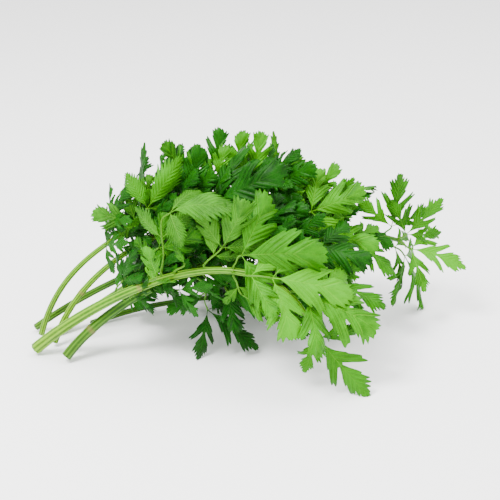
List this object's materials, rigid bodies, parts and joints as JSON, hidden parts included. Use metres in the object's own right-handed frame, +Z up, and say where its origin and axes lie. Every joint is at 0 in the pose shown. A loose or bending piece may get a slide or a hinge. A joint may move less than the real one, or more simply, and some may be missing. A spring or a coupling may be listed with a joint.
{
  "type": "celery leaf bunch",
  "caption": "A loose, untied bunch of freshly cut leaf celery lying on its side, with arching ribbed stems and lobed, toothed green leaves",
  "frame": {"origin": "middle of the underside of the bunch's box, on the surface it lies on", "axes": "+X along the bunch from the cut ends to the leaf tips, +Y away to the far side, +Z up"},
  "size_m": [0.2754, 0.1478, 0.1302],
  "materials": {
    "stem_green": "satin",
    "stem_dark": "satin",
    "leaf_mid": "satin",
    "leaf_dark": "satin",
    "leaf_young": "satin",
    "leaf_underside": "matte"
  },
  "bodies": {
    "root": {"leaf_arching": "leaf_underside", "leaf_axil": "leaf_mid", "leaf_back_left": "leaf_mid", "leaf_back_middle": "leaf_dark", "leaf_back_right": "leaf_mid", "leaf_back_side": "leaf_mid", "leaf_back_top": "leaf_mid", "leaf_big_dark": "leaf_dark", "leaf_crown_bright": "leaf_young", "leaf_crown_far": "leaf_mid", "leaf_crown_fingers": "leaf_underside", "leaf_crown_left": "leaf_mid", "leaf_crown_middle": "leaf_mid", "leaf_crown_right": "leaf_mid", "leaf_end_low": "leaf_mid", "leaf_end_middle": "leaf_mid", "leaf_end_right": "leaf_young", "leaf_end_upper": "leaf_mid", "leaf_front_broad": "leaf_young", "leaf_front_drooping": "leaf_mid", "leaf_front_fan": "leaf_underside", "leaf_front_hanging": "leaf_mid", "leaf_front_long": "leaf_mid", "leaf_front_low": "leaf_young", "leaf_front_tips": "leaf_mid", "leaf_front_tongue": "leaf_underside", "leaf_ground_back": "leaf_dark", "leaf_ground_left": "leaf_dark", "leaf_left_curl": "leaf_dark", "leaf_left_fan": "leaf_mid", "leaf_left_inner": "leaf_dark", "leaf_left_low": "leaf_mid", "leaf_left_pair": "leaf_underside", "leaf_left_small": "leaf_underside", "leaf_low_inner": "leaf_dark", "leaf_low_left": "leaf_dark", "leaf_low_long": "leaf_dark", "leaf_low_middle": "leaf_dark", "leaf_low_pair": "leaf_dark", "leaf_low_right": "leaf_dark", "leaf_middle_dark": "leaf_dark", "leaf_middle_inner": "leaf_dark", "leaf_middle_right": "leaf_dark", "leaf_right_bright": "leaf_young", "leaf_right_dark": "leaf_dark", "leaf_right_drop": "leaf_mid", "leaf_right_horn": "leaf_mid", "leaf_right_low": "leaf_young", "leaf_right_thread": "leaf_mid", "leaf_top_left": "leaf_mid", "leaf_top_spire": "leaf_dark", "leaf_young": "leaf_young", "stem_arching": "stem_green", "stem_back": "stem_green", "stem_front": "stem_green", "stem_long": "stem_dark", "stem_low": "stem_dark", "stem_thick": "stem_dark", "stem_upper": "stem_green"}
  },
  "joints": []
}
